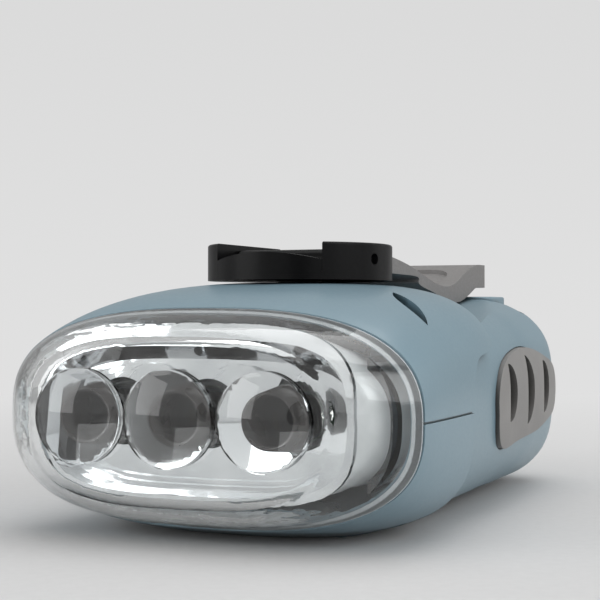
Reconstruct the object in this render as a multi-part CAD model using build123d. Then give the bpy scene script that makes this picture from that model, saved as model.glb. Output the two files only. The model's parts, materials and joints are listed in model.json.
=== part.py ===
from build123d import *
import os
from math import acos, cos, hypot, pi, radians, sin, sqrt, tan

# Hand crank flashlight. Millimetres, +Z up, the lens faces -Y, +X is the right side seen from the front.
# The origin is the centre of the outline box's underside, so the housing stands on z = 0.

# Housing
total_length = 110.8
housing_width = 62.0
housing_height = 35.4
parting_height = 17.0
rim_setback = 12.4
wall = 2.2
grip_section_start = 24.0
parting_groove = 0.3
parting_groove_depth = 0.4
seam_setback = 34.4
hood_edge_setback = 50.0
hood_edge_height = 27.2
seam_gap = 0.45
seam_depth = 0.6
ramp_start_height = 28.1
ramp_rise = 5.1
ledge_tail_distance = 16.8
ledge_height = 33.7
platform_radius = 16.0
tail_rest_half_width = 15.6
tail_rest_end_distance = 5.8
tail_rest_depth = 4.0
tail_rest_corner = 2.0
tail_rest_round = 0.4
overrun = 5.0

# Stations of the housing from rim to tail, as shares: place along the length, half width, top, bottom,
# then the exponent of the rounded section
hood_shares = [
    (0.0, 1.0, 0.893, 0.054, 2.65),
    (0.061, 1.004, 0.942, 0.012, 2.85),
    (0.148, 1.0, 0.981, -0.0226, 3.0),
    (0.26, 0.988, 1.0, -0.0226, 3.2),
    (0.383, 0.965, 1.0, -0.0226, 3.2),
    (0.53, 0.942, 1.0, -0.0226, 3.1),
]
grip_section_shares = [
    (0.0, 0.984, 0.884, -0.0226, 2.9),
    (0.115, 0.97, 0.91, -0.0226, 2.9),
    (0.23, 0.954, 0.932, -0.0226, 2.9),
    (0.345, 0.938, 0.948, -0.0226, 2.9),
    (0.46, 0.922, 0.956, -0.0226, 2.9),
    (0.575, 0.905, 0.96, -0.0226, 2.9),
    (0.69, 0.886, 0.96, -0.0226, 3.0),
    (0.8, 0.862, 0.96, -0.0226, 3.1),
    (0.89, 0.81, 0.948, -0.012, 3.1),
    (0.96, 0.665, 0.885, 0.055, 2.85),
    (1.0, 0.4, 0.755, 0.2, 2.6),
]
quarter_steps = 6

# Shallow leaf-shaped scoops in the upper shell, as shares of the half width and of the distance from the
# front, for the corner near the middle, the corner near the edge, and a point on each side between
scoop_depth = 1.3
front_scoop_shares = [(0.619, 0.298), (0.871, 0.2274), (0.774, 0.2376), (0.756, 0.2744)]
rear_scoop_shares = [(0.529, 0.916), (0.677, 0.862), (0.587, 0.871), (0.632, 0.9025)]

# Screws that hold the shells together
screw_cross_share = 0.6
screw_radius = 1.3
screw_head_radius = 2.6
screw_head_height = 1.6
screw_seat_height = 5.0
screw_length = 20.0
screw_boss_radius = 3.2
front_screw_spread = 40.0
front_screw_setback = 28.0
rear_screw_spread = 37.0
rear_screw_tail_distance = 12.3
running_clearance = 0.05
fit_clearance = 0.15
free_clearance = 0.3
lip_clearance = 0.45

# Front cover with its lenses
cover_wall = 1.2
cover_lip_depth = 3.0
cover_tab_start = 24.0
cover_front_setback = 3.0
seal_thickness = 0.4
seal_width = 1.6
lens_pitch = 13.4
lens_radius = 6.4
lens_height = 17.3
lens_wall_height = 1.5
lens_crown = 1.5
cover_shares = [
    (0.0, 1.0, 1.0, 2.65),
    (0.47, 0.89, 0.935, 2.75),
    (0.83, 0.782, 0.85, 2.9),
    (1.0, 0.7, 0.755, 3.0),
]

# Reflector
reflector_rim_setback = 7.9
reflector_width = 46.0
reflector_height = 22.8
reflector_lip = 0.9
reflector_wall = 0.6
reflector_floor_setback = 13.6
reflector_frame_setback = 15.4
reflector_frame_sheet = 0.4
reflector_exponent = 3.6
reflector_floor_width = 40.0
reflector_floor_height = 14.8
reflector_floor_drop = 1.4
reflector_step_count = 2
reflector_step_width = 0.7
reflector_step_depth = 0.8
cup_radius = 4.7
cup_base_radius = 2.8
cup_depth = 5.0
cup_bulge_share = 0.72

# Diodes and their board
diode_radius = 2.5
diode_flange_radius = 2.8
diode_length = 7.4
diode_flange = 1.0
diode_lead_radius = 0.25
diode_lead_spread = 2.54
board_thickness = 1.2
diode_board_gap = 1.2
diode_board_width = 43.0
diode_board_height = 13.0

# Crank hub
hub_setback = 43.7
hub_radius = 14.2
hub_height = 5.5
hub_gap = 0.3
hub_floor = 1.0
hub_slot_width = 17.0
hub_front_wall = 2.8
hub_arch_height = 4.0
hub_arch_drop = 1.1
hub_edge_round = 0.4
stem_radius = 3.5
stem_length = 8.3
shaft_radius = 2.0
shaft_overlap = 5.5
bush_radius = 5.2
bush_length = 6.0
bush_boss_radius = 7.2
clip_thickness = 0.8
clip_width = 1.2
fold_pin_forward = 3.7
fold_pin_rise = 3.1
fold_pin_radius = 0.8
fold_pin_recess = 0.8
barrel_radius = 1.6

# Crank arm, folded back over the housing
arm_width = 24.0
arm_reach = 67.0
arm_shoulder_gap = 0.3
arm_side_gap = 0.3
arm_end_thickness = 4.2
arm_end_rise = 0.9
arm_round = 0.7
arm_corner_radius = 5.0
arm_skin = 0.9
tongue_length = 5.0
tongue_cover = 0.6
arm_top_shares = [
    (0.085, 0.32), (0.19, 0.16), (0.34, -0.19), (0.475, -0.64),
    (0.55, -0.8), (0.64, -0.76), (0.76, -0.16), (0.845, 0.16),
]
arm_bottom_shares = [
    (0.865, -0.79), (0.81, -1.02), (0.745, -1.32), (0.69, -1.46),
    (0.625, -1.42), (0.549, -1.26), (0.46, -1.02), (0.37, -0.73), (0.27, -0.45),
]
arm_flat_share = 0.89
arm_scoop_width = 18.0
arm_scoop_depth = 0.7
arm_scoop_start_share = 0.38
arm_scoop_end_share = 0.79

# Turning knob under the arm's end
knob_radius = 6.5
knob_end_distance = 9.5
knob_thickness = 3.0
knob_recess = 2.0
knob_dimple_radius = 4.8
knob_dimple_depth = 1.0
rivet_radius = 1.5
rivet_head_radius = 2.8
rivet_head_height = 0.6

# Gears
gear_module = 0.8
gear_thickness = 2.2
gear_level_gap = 1.2
gear_plate_height = 13.9
gear_plate_thickness = 1.2
pressure_angle = 25.0
addendum_share = 0.8
dedendum_share = 1.05
tooth_backlash = 0.14
flank_steps = 3
drive_teeth = 44
idler_1_teeth = 36
idler_2_teeth = 32
pinion_teeth = 12
idler_1_bearing = 21.0
idler_2_bearing = -50.0
rotor_bearing = 35.0
axle_radius = 1.0
sleeve_radius = 2.6
axle_boss_radius = 2.4

# Generator
magnet_radius = 7.2
magnet_height = 7.8
magnet_floor = 4.6
stator_radius = 12.0
stator_height = 9.6
stator_floor = 3.6
stator_sheet = 0.9
stator_bore_radius = 7.9
claw_count = 12
claw_height = 6.4
claw_width = 2.6
coil_gap = 0.25

# Gear plate and its screws
plate_width = 46.0
plate_start = 41.2
plate_tail_distance = 16.0
plate_corner_radius = 4.0
plate_screw_spread = 41.0
plate_front_post_setback = 56.0
plate_rear_post_inset = 3.2
plate_post_radius = 2.5
plate_screw_radius = 0.9
plate_screw_head_radius = 1.8
plate_screw_length = 7.0

# Battery
cell_radius = 5.75
cell_length = 5.4
cell_count = 3
battery_setback = 34.0
battery_floor = 2.2
cradle_width = 13.0
cradle_depth = 14.0
cradle_height = 4.4

# Control board and switch
control_board_length = 26.0
control_board_width = 24.0
control_board_setback = 60.0
control_board_height = 8.6
board_post_radius = 1.6
board_hole_inset = 2.4
capacitor_radius = 2.5
capacitor_height = 3.4
bridge_length = 6.0
bridge_width = 4.4
bridge_height = 2.2
switch_setback = 60.0
switch_travel = 4.0
switch_body_length = 13.0
switch_body_width = 7.0
switch_body_height = 4.0
switch_knob_length = 7.0
switch_knob_width = 6.4
switch_recess_depth = 0.9
switch_slider_thickness = 0.8
switch_stem_length = 3.0
switch_stem_width = 2.6
switch_ridge_count = 4
switch_ridge_depth = 0.25

# Grip pads
pad_start = 50.1
pad_tail_distance = 14.0
pad_low = 10.2
pad_high = 25.1
pad_proud = 0.6
pad_sink = 1.0
pad_groove_width = 5.0
pad_groove_depth = 1.1
pad_groove_start = 7.5
pad_groove_pitch = 13.3

# Outline of a pad as shares of its length and height, then the low and high end of each groove
pad_outline_shares = [
    (0.0, 0.39), (0.013, 0.63), (0.075, 0.795), (0.173, 0.903), (0.34, 0.98), (0.49, 1.0),
    (0.66, 0.946), (0.833, 0.852), (0.955, 0.718), (1.0, 0.49), (0.957, 0.258), (0.854, 0.148),
    (0.627, 0.054), (0.448, 0.027), (0.261, 0.0), (0.092, 0.0), (0.026, 0.121), (0.002, 0.28),
]
pad_groove_shares = [(0.25, 0.85), (0.16, 0.92), (0.235, 0.83)]

front_y = -total_length / 2
ledge_setback = total_length - ledge_tail_distance
rear_screw_setback = total_length - rear_screw_tail_distance
plate_end = total_length - plate_tail_distance
plate_rear_post_setback = plate_end - plate_rear_post_inset
pad_end = total_length - pad_tail_distance


def at(setback):
    """Y of a place measured back from the foremost point."""
    return front_y + setback


def save(node, shape):
    shape.label = node
    export_step(shape, f"parts/{node}.step")


def cylinder(radius, low, high, x=0, y=0):
    """Upright cylinder from low to high."""
    return Pos(x, y, (low + high) / 2) * Cylinder(radius, high - low)


def block(x, y, z):
    """Box given by its low and high in X, Y and Z."""
    size = [abs(high - low) for low, high in (x, y, z)]
    return Pos(sum(x) / 2, sum(y) / 2, sum(z) / 2) * Box(*size)


def lying_cylinder(radius, y_low, y_high, x, z):
    """Cylinder along Y."""
    return Pos(x, (y_low + y_high) / 2, z) * Rot(90, 0, 0) * Cylinder(radius, y_high - y_low)


def crosswise_cylinder(radius, half_length, y, z):
    """Cylinder along X, centred on X = 0."""
    return Pos(0, y, z) * Rot(0, 90, 0) * Cylinder(radius, 2 * half_length)


def side_prism(points, half_width):
    """Prism along X over an outline of (y, z) points."""
    outline = Polyline(*[(-half_width, y, z) for y, z in points], close=True)
    return extrude(make_face(outline), amount=2 * half_width, dir=(1, 0, 0))


def rounded_point(angle, exponent):
    """Point of the unit rounded section in this direction."""
    across, up = cos(angle), sin(angle)
    reach = (abs(across) ** exponent + abs(up) ** exponent) ** (-1 / exponent)
    return across * reach, up * reach


def even_parameters(steps):
    """The same spline parameters for every section, so that lofts between them stay light."""
    return [step / steps for step in range(steps + 1)]


def quarter_outline(y, half_width, rise, exponent, side, level):
    """Right half of the upper (side = 1) or lower (side = -1) part of a rounded section."""
    points = []
    for step in range(quarter_steps + 1):
        across, up = rounded_point(pi / 2 * step / quarter_steps, exponent)
        points.append((half_width * across, y, level + side * rise * up))
    curve = Edge.make_spline([Vector(*point) for point in points], parameters=even_parameters(quarter_steps),
                             tangents=[Vector(0, 0, side), Vector(-1, 0, 0)])
    return Wire([curve, Line(points[-1], (0, y, level)), Line((0, y, level), points[0])])


def full_outline(y, half_width, half_height, exponent, level):
    """Whole rounded section about the given height."""
    steps = 4 * quarter_steps
    points = []
    for step in range(steps):
        across, up = rounded_point(2 * pi * step / steps, exponent)
        points.append((half_width * across, y, level + half_height * up))
    curve = Edge.make_spline([Vector(*point) for point in points], parameters=even_parameters(steps),
                             periodic=True)
    return Wire([curve])


def shell_half(shares, start, length, inset, side, lead=0):
    """Loft over the stations, drawn in by inset, above or below the parting plane."""
    wires = []
    if lead:
        _, wide, top, bottom, exponent = shares[0]
        wires.append((start - lead, wide, top, bottom, exponent))
    for place, wide, top, bottom, exponent in shares:
        wires.append((start + (length - inset) * place, wide, top, bottom, exponent))
    outlines = []
    for setback, wide, top, bottom, exponent in wires:
        edge = top if side > 0 else bottom
        rise = abs(housing_height * edge - parting_height) - inset
        half_width = housing_width / 2 * wide - inset
        outlines.append(quarter_outline(at(setback), half_width, rise, exponent, side, parting_height))
    half = Solid.make_loft(outlines)
    return half + mirror(half, about=Plane.YZ)


housing_length = total_length - rim_setback
grip_section_length = total_length - grip_section_start


def hood_half(inset, side, lead=0):
    return shell_half(hood_shares, rim_setback, housing_length, inset, side, lead)


def grip_half(inset, side):
    return shell_half(grip_section_shares, grip_section_start, grip_section_length, inset, side)


def behind_seam(shift):
    """Everything behind the line where the hood ends, moved back by shift."""
    foot = at(seam_setback + shift)
    edge = at(hood_edge_setback + shift)
    bend = parting_height + (hood_edge_height - parting_height) / 3
    curve = Spline(
        (0, foot, parting_height), (0, foot + (edge - foot) / 5, (bend + hood_edge_height) / 2),
        (0, edge, hood_edge_height), tangents=[(0, 0, 1), (0, 1, 1)])
    far = at(total_length + overrun)
    top = housing_height + overrun
    low = -overrun
    lines = Polyline((0, edge, hood_edge_height), (0, edge, top), (0, far, top), (0, far, low),
                     (0, foot, low), (0, foot, parting_height))
    face = make_face(Wire([curve] + list(lines.edges())))
    return Pos(-housing_width, 0, 0) * extrude(face, amount=2 * housing_width, dir=(1, 0, 0))


def above_ramp(drop):
    """Everything above the ramp and the ledge, lowered by drop."""
    step = at(ledge_setback + drop)
    top = housing_height + overrun
    start = at(0)
    far = at(total_length + overrun)
    return side_prism([(start, ramp_start_height - drop), (at(hood_edge_setback), ramp_start_height - drop),
                       (step, ramp_start_height + ramp_rise - drop), (step, ledge_height - drop),
                       (far, ledge_height - drop), (far, top), (start, top)], housing_width)


hub_y = at(hub_setback)


def leaf_prism(shares, mirrored):
    """Upright prism over a leaf-shaped outline."""
    turn = -1 if mirrored else 1
    inner, outer, front, back = [(turn * share_x * housing_width / 2, at(share_y * total_length), 0)
                                 for share_x, share_y in shares]
    face = make_face(Wire([ThreePointArc(inner, front, outer), ThreePointArc(outer, back, inner)]))
    return extrude(face, amount=housing_height + overrun, dir=(0, 0, 1))


screw_places = [(side * spread / 2, at(setback)) for side in (-1, 1) for spread, setback in
                ((front_screw_spread, front_screw_setback), (rear_screw_spread, rear_screw_setback))]
plate_post_places = [(side * plate_screw_spread / 2, at(setback)) for side in (-1, 1)
                     for setback in (plate_front_post_setback, plate_rear_post_setback)]


def mesh_distance(teeth_a, teeth_b):
    return gear_module * (teeth_a + teeth_b) / 2


def next_axis(place, distance, bearing):
    """Axis at this distance, its bearing measured from +Y towards +X."""
    x, y = place
    return x + distance * sin(radians(bearing)), y + distance * cos(radians(bearing))


hub_axis = (0, hub_y)
idler_1_axis = next_axis(hub_axis, mesh_distance(drive_teeth, pinion_teeth), idler_1_bearing)
idler_2_axis = next_axis(idler_1_axis, mesh_distance(idler_1_teeth, pinion_teeth), idler_2_bearing)
rotor_axis = next_axis(idler_2_axis, mesh_distance(idler_2_teeth, pinion_teeth), rotor_bearing)
plate_top = gear_plate_height + gear_plate_thickness
level_pitch = gear_thickness + gear_level_gap
level_c = plate_top + fit_clearance + free_clearance
level_b = level_c + level_pitch
level_a = level_b + level_pitch
gears_top = level_a + gear_thickness
hub_bottom = housing_height + hub_gap
hub_top = hub_bottom + hub_height
stem_bottom = hub_bottom - stem_length
bush_top = housing_height
bush_bottom = bush_top - bush_length
pin_y = hub_y - fold_pin_forward
pin_z = hub_bottom + fold_pin_rise
knob_y = pin_y + arm_reach - knob_end_distance


def pad_prism(grow):
    """Prism along X over the outline of a grip pad, widened by grow."""
    start, low = at(pad_start) - grow, pad_low - grow
    length, height = pad_end - pad_start + 2 * grow, pad_high - pad_low + 2 * grow
    points = [(0, start + along * length, low + up * height) for along, up in pad_outline_shares]
    face = Face(Wire([Spline(*points, periodic=True)]))
    return extrude(face, amount=housing_width, dir=(1, 0, 0))


def pad_pocket(side):
    """Room for both pads in the upper (side = 1) or lower (side = -1) shell."""
    pocket = pad_prism(fit_clearance) - grip_half(pad_sink + fit_clearance, side)
    return pocket + mirror(pocket, about=Plane.YZ)


def tail_rest():
    """Raised flat deck at the tail, under the folded knob."""
    deck = block((-tail_rest_half_width, tail_rest_half_width),
                 (at(ledge_setback), at(total_length - tail_rest_end_distance)),
                 (ledge_height - tail_rest_depth, ledge_height))
    deck = fillet(deck.edges().filter_by(Axis.Z), tail_rest_corner)
    return fillet(deck.faces().sort_by(Axis.Z)[-1].edges(), tail_rest_round)


def upper_shell():
    seam = behind_seam(0)
    platform = cylinder(platform_radius, parting_height, housing_height + overrun, 0, hub_y)
    shell = hood_half(0, 1) - (seam - platform)
    tail = (grip_half(0, 1) - above_ramp(0)) + tail_rest()
    groove = (seam - behind_seam(seam_gap)) - grip_half(seam_depth, 1) - platform
    shell = shell + (tail - groove)
    inner_platform = cylinder(platform_radius - wall, parting_height, housing_height, 0, hub_y)
    cavity = hood_half(wall, 1, overrun) - (behind_seam(-wall) - inner_platform)
    cavity = cavity + (grip_half(wall, 1) - above_ramp(wall))
    bosses = cylinder(bush_boss_radius, bush_bottom, housing_height - wall / 2, 0, hub_y)
    ceiling = housing_height
    for x, y in screw_places:
        bosses = bosses + cylinder(screw_boss_radius, parting_height + fit_clearance, ceiling, x, y)
    for (x, y), low in ((idler_1_axis, gears_top), (idler_2_axis, level_b + gear_thickness),
                        (rotor_axis, level_c + gear_thickness)):
        bosses = bosses + cylinder(axle_boss_radius, low + free_clearance, ceiling, x, y)
    shell = shell - (cavity - bosses)
    for x, y in screw_places:
        depth = screw_seat_height + screw_length + free_clearance
        shell = shell - cylinder(screw_radius, parting_height, depth, x, y)
    for (x, y), low in ((idler_1_axis, gears_top), (idler_2_axis, level_b + gear_thickness),
                        (rotor_axis, level_c + gear_thickness)):
        shell = shell - cylinder(axle_radius, low, axle_top + fit_clearance, x, y)
    shell = shell - cylinder(bush_radius, bush_bottom - overrun, hub_bottom, 0, hub_y)
    for shares in (front_scoop_shares, rear_scoop_shares):
        for mirrored in (False, True):
            core = hood_half(scoop_depth, 1) if shares is front_scoop_shares else grip_half(scoop_depth, 1)
            shell = shell - (leaf_prism(shares, mirrored) - core)
    shell = shell - pad_pocket(1)
    band = block((-housing_width, housing_width), (at(0), at(total_length)),
                 (parting_height, parting_height + parting_groove / 2))
    return shell - (band - hood_half(parting_groove_depth, 1) - grip_half(parting_groove_depth, 1))


axle_top = level_a + gear_thickness + free_clearance + gear_thickness / 2


def lower_shell():
    seam = behind_seam(0)
    shell = hood_half(0, -1) - seam
    tail = grip_half(0, -1)
    groove = (seam - behind_seam(seam_gap)) - grip_half(seam_depth, -1)
    shell = shell + (tail - groove)
    shell = shell - block((-housing_width, housing_width), (at(0), at(total_length + overrun)), (-overrun, 0))
    cavity = hood_half(wall, -1, overrun) - behind_seam(-wall)
    cavity = cavity + grip_half(wall, -1)
    bosses = cylinder(axle_boss_radius, 0, magnet_floor - free_clearance, *rotor_axis)
    for x, y in screw_places:
        bosses = bosses + cylinder(screw_boss_radius, 0, parting_height - fit_clearance, x, y)
    for x, y in plate_post_places:
        bosses = bosses + cylinder(plate_post_radius, 0, gear_plate_height, x, y)
    for x, y in board_post_places:
        bosses = bosses + cylinder(board_post_radius, 0, control_board_height, x, y)
    for turn in range(3):
        angle = 2 * pi * turn / 3
        reach = stator_radius - board_post_radius
        x, y = rotor_axis
        bosses = bosses + cylinder(board_post_radius, 0, stator_floor, x + reach * sin(angle),
                                   y - reach * cos(angle))
    bosses = bosses + block((-cradle_width / 2, cradle_width / 2),
                            (battery_y - cradle_depth / 2, battery_y + cradle_depth / 2), (0, battery_floor))
    shell = shell - (cavity - bosses)
    for x, y in screw_places:
        shell = shell - cylinder(screw_head_radius + fit_clearance, -overrun, screw_seat_height, x, y)
        shell = shell - cylinder(screw_radius + running_clearance, 0, parting_height, x, y)
    for x, y in plate_post_places:
        shell = shell - cylinder(plate_screw_radius, plate_top - plate_screw_length, plate_top, x, y)
    shell = shell - cylinder(axle_radius, axle_floor, magnet_floor, *rotor_axis)
    half_slot = (switch_knob_length + switch_travel) / 2 + fit_clearance
    shell = shell - block((-switch_knob_width / 2 - fit_clearance, switch_knob_width / 2 + fit_clearance),
                          (switch_y - half_slot, switch_y + half_slot), (-overrun, switch_recess_depth))
    half_slot = (switch_stem_length + switch_travel) / 2 + fit_clearance
    shell = shell - block((-switch_stem_width / 2 - fit_clearance, switch_stem_width / 2 + fit_clearance),
                          (switch_y - half_slot, switch_y + half_slot), (-overrun, control_board_height / 2))
    shell = shell - pad_pocket(-1)
    band = block((-housing_width, housing_width), (at(0), at(total_length)),
                 (parting_height - parting_groove / 2, parting_height))
    return shell - (band - hood_half(parting_groove_depth, -1) - grip_half(parting_groove_depth, -1))


axle_floor = wall
battery_y = at(battery_setback)
switch_y = at(switch_setback)
board_y = at(control_board_setback)
board_post_places = [(side * (control_board_width / 2 - board_hole_inset),
                      board_y + end * (control_board_length / 2 - board_hole_inset))
                     for side in (-1, 1) for end in (-1, 1)]
rim_shares = hood_shares[0]
rim_half_width = housing_width / 2 * rim_shares[1]
rim_top = housing_height * rim_shares[2]
rim_bottom = housing_height * rim_shares[3]
rim_middle = (rim_top + rim_bottom) / 2
rim_half_height = (rim_top - rim_bottom) / 2
cover_back = rim_setback - seal_thickness


def rim_loft(places, inset, exponent_add=0):
    """Loft over (setback, width share, height share, exponent) outlines around the rim's middle."""
    wires = [full_outline(at(setback), rim_half_width * wide - inset, rim_half_height * high - inset,
                          exponent + exponent_add, rim_middle)
             for setback, wide, high, exponent in places]
    return Solid.make_loft(wires)


def cover_places(front, back):
    return [(back - (back - front) * place, wide, high, exponent)
            for place, wide, high, exponent in cover_shares]


def cap(radius, crown, y, x, z):
    """Solid spherical cap that bulges towards -Y from its base at y."""
    ball = (radius ** 2 + crown ** 2) / (2 * crown)
    dome = Pos(x, y + ball - crown, z) * Sphere(ball)
    return dome & lying_cylinder(radius, y - crown - overrun, y, x, z)


lens_x = [turn * lens_pitch for turn in (-1, 0, 1)]


def lens_cover():
    outside = rim_loft(cover_places(cover_front_setback, cover_back), fit_clearance)
    inside = rim_loft(cover_places(cover_front_setback + cover_wall, cover_back), cover_wall + fit_clearance)
    lip_outer = wall + lip_clearance
    lip_inner = lip_outer + cover_wall
    first = cover_shares[0]
    lip_start, lip_end = cover_back - 2 * cover_wall, rim_setback + cover_lip_depth
    lip = rim_loft([(lip_start, *first[1:]), (lip_end, *first[1:])], lip_outer)
    lip = lip - rim_loft([(lip_start - overrun, *first[1:]), (lip_end + overrun, *first[1:])], lip_inner)
    lip = lip - block((-cover_tab_start, cover_tab_start), (at(0), at(total_length)), (0, housing_height))
    cover = (outside - inside) + lip
    edge = at(cover_front_setback) - lens_wall_height
    for x in lens_x:
        cover = cover + lying_cylinder(lens_radius, edge, at(cover_front_setback) + cover_wall, x, lens_height)
        cover = cover + cap(lens_radius - fit_clearance, lens_crown, edge, x, lens_height)
    return cover


def rim_seal():
    first = cover_shares[0]
    places = [(cover_back, *first[1:]), (rim_setback, *first[1:])]
    longer = [(cover_back - overrun, *first[1:]), (rim_setback + overrun, *first[1:])]
    return rim_loft(places, free_clearance) - rim_loft(longer, free_clearance + seal_width)


def tray(width, height, y, drop=0):
    return full_outline(y, width / 2, height / 2, reflector_exponent, lens_height - drop)


def tray_floor(grow, y):
    """Outline of the tray's floor, widened by grow on every side."""
    return tray(reflector_floor_width + 2 * grow, reflector_floor_height + 2 * grow, y, reflector_floor_drop)


def cup_solid(x, grow, front_grow):
    """Bowl of revolution behind the tray floor, opening towards -Y."""
    mouth = cup_radius + grow
    base = cup_base_radius + grow
    start = -front_grow
    end = cup_depth
    middle = base + (mouth - base) * cup_bulge_share
    outline = Wire([
        Line((0, start, 0), (mouth, start, 0)), Line((mouth, start, 0), (mouth, 0, 0)),
        ThreePointArc((mouth, 0, 0), (middle, end / 2, 0), (base, end, 0)),
        Line((base, end, 0), (0, end, 0)), Line((0, end, 0), (0, start, 0))])
    bowl = revolve(make_face(outline), Axis((0, 0, 0), (0, 1, 0)))
    return Pos(x, at(reflector_floor_setback), lens_height) * bowl


def reflector():
    """Bright tray: a flat lip, a sloping wall and three bowls, one for each diode."""
    sheet = reflector_lip
    rim_y = at(reflector_rim_setback)
    floor_y = at(reflector_floor_setback)
    step_grow = reflector_step_count * reflector_step_width
    step_reach = reflector_step_count * reflector_step_depth
    lip = Solid.make_loft([tray(reflector_width, reflector_height, rim_y),
                           tray(reflector_width, reflector_height, rim_y + sheet)])
    mouth = (reflector_width - 2 * sheet, reflector_height - 2 * sheet)
    outside = Solid.make_loft([tray(*mouth, rim_y + sheet / 2),
                               tray_floor(step_grow + reflector_wall, floor_y + reflector_wall)])
    inside = Solid.make_loft([tray(*mouth, rim_y - sheet), tray_floor(step_grow, floor_y - step_reach)])
    for turn in range(reflector_step_count):
        grow = turn * reflector_step_width
        start = floor_y - step_reach - reflector_step_depth / 2
        end = floor_y - turn * reflector_step_depth
        inside = inside + Solid.make_loft([tray_floor(grow, start), tray_floor(grow, end)])
    bowls = Part() + [cup_solid(x, reflector_wall, reflector_wall / 2) for x in lens_x]
    hollows = Part() + [cup_solid(x, 0, overrun) for x in lens_x]
    body = lip + (outside + bowls)
    body = body - inside - hollows
    for x in lens_x:
        body = body - lying_cylinder(cup_base_radius, floor_y, floor_y + cup_depth + overrun, x, lens_height)
    return body


def reflector_frame():
    """Thin skirt that carries the reflector's lip and widens to the front cover's lip."""
    front_y = at(reflector_rim_setback) + reflector_lip
    back_y = at(reflector_frame_setback)
    inset = wall + lip_clearance + cover_wall + fit_clearance
    sheet = reflector_frame_sheet
    outlines = []
    for shrink, reach in ((0, 0), (sheet, overrun)):
        slope = reach * (rim_half_width - inset - reflector_width / 2) / (back_y - front_y)
        outlines.append(Solid.make_loft([
            tray(reflector_width - 2 * (shrink + slope), reflector_height - 2 * shrink, front_y - reach),
            full_outline(back_y + reach, rim_half_width - inset - shrink + slope,
                         rim_half_height - inset - shrink, rim_shares[4], rim_middle)]))
    return outlines[0] - outlines[1]


diode_back = reflector_floor_setback + cup_depth + diode_flange + fit_clearance
diode_board_front = diode_back + diode_board_gap


def diode(x):
    """Round diode with a domed nose, a flange and two leads."""
    back = at(diode_back)
    nose = back - diode_length
    body = lying_cylinder(diode_radius, nose + diode_radius, back, x, lens_height)
    body = body + Pos(x, nose + diode_radius, lens_height) * Sphere(diode_radius)
    body = body + lying_cylinder(diode_flange_radius, back - diode_flange, back, x, lens_height)
    for side in (-1, 1):
        body = body + lying_cylinder(diode_lead_radius, back - diode_flange, at(diode_board_front), x,
                                     lens_height + side * diode_lead_spread / 2)
    return body


def rail_place():
    """Half height of the slots that hold the diode board."""
    return diode_board_height / 2


def diode_board():
    front = at(diode_board_front)
    half = diode_board_width / 2
    low = lens_height - rail_place()
    high = lens_height + rail_place()
    return block((-half, half), (front, front + board_thickness), (low, high))


def diode_board_posts():
    """Two spacers that hold the diode board off the reflector's back."""
    front = at(reflector_floor_setback) + reflector_wall
    posts = []
    for side in (-1, 1):
        x = side * lens_pitch / 2
        for end in (-1, 1):
            z = lens_height + end * (rail_place() - diode_lead_spread / 2)
            posts.append(lying_cylinder(diode_flange / 2, front, at(diode_board_front), x, z))
    return Compound(children=posts)


def crank_hub():
    drum = cylinder(hub_radius, hub_bottom, hub_top, 0, hub_y)
    drum = fillet(drum.edges().filter_by(GeomType.CIRCLE).sort_by(Axis.Z)[-1], hub_edge_round)
    slot_front = hub_y - hub_radius + hub_front_wall
    half = hub_slot_width / 2
    far = hub_y + hub_radius + overrun
    drum = drum - block((-half, half), (slot_front, far), (hub_bottom + hub_floor, hub_top + overrun))
    arch_ball = (half ** 2 + hub_arch_drop ** 2) / (2 * hub_arch_drop)
    arch_top = hub_bottom + hub_arch_height
    above = block((-half, half), (hub_y - hub_radius - overrun, slot_front), (hub_bottom, hub_top + overrun))
    under = lying_cylinder(arch_ball, hub_y - hub_radius - 2 * overrun, slot_front + overrun, 0,
                           arch_top - arch_ball)
    drum = drum - (above - under)
    stem = cylinder(stem_radius, stem_bottom, hub_bottom + hub_floor / 2, 0, hub_y)
    groove_top = bush_bottom - free_clearance
    ring = cylinder(stem_radius + overrun, groove_top - clip_thickness, groove_top, 0, hub_y)
    ring = ring - cylinder(stem_radius - clip_width / 2, stem_bottom, hub_bottom, 0, hub_y)
    stem = stem - ring
    drum = drum + stem
    drum = drum - cylinder(shaft_radius, stem_bottom - overrun, stem_bottom + shaft_overlap, 0, hub_y)
    return drum - crosswise_cylinder(fold_pin_radius + running_clearance, hub_radius + overrun, pin_y, pin_z)


def shaft_clip():
    """Split ring that keeps the hub's stem from lifting out of its bush."""
    top = bush_bottom - free_clearance
    low = top - clip_thickness + running_clearance
    inner = stem_radius - clip_width / 2
    ring = cylinder(stem_radius + clip_width, low, top, 0, hub_y) - cylinder(inner, low, top, 0, hub_y)
    return ring - block((-inner / 2, inner / 2), (hub_y, hub_y + 2 * stem_radius), (low, top))


def crank_shaft():
    return cylinder(shaft_radius, gear_plate_height - fit_clearance, stem_bottom + shaft_overlap, 0, hub_y)


def shaft_bush():
    bush = cylinder(bush_radius, bush_bottom, bush_top, 0, hub_y)
    return bush - cylinder(stem_radius + running_clearance, bush_bottom, bush_top, 0, hub_y)


def fold_pin():
    reach = sqrt(hub_radius ** 2 - fold_pin_forward ** 2) - fold_pin_recess
    return crosswise_cylinder(fold_pin_radius, reach, pin_y, pin_z)


arm_scale = arm_end_thickness
arm_top_z = pin_z + arm_end_rise
arm_low_z = arm_top_z - arm_end_thickness
neck_half_width = hub_slot_width / 2 - arm_side_gap
arm_start_radius = hub_radius + arm_shoulder_gap


def arm_point(shares):
    along, up = shares
    return (0, pin_y + along * arm_reach, pin_z + up * arm_scale)


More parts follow.
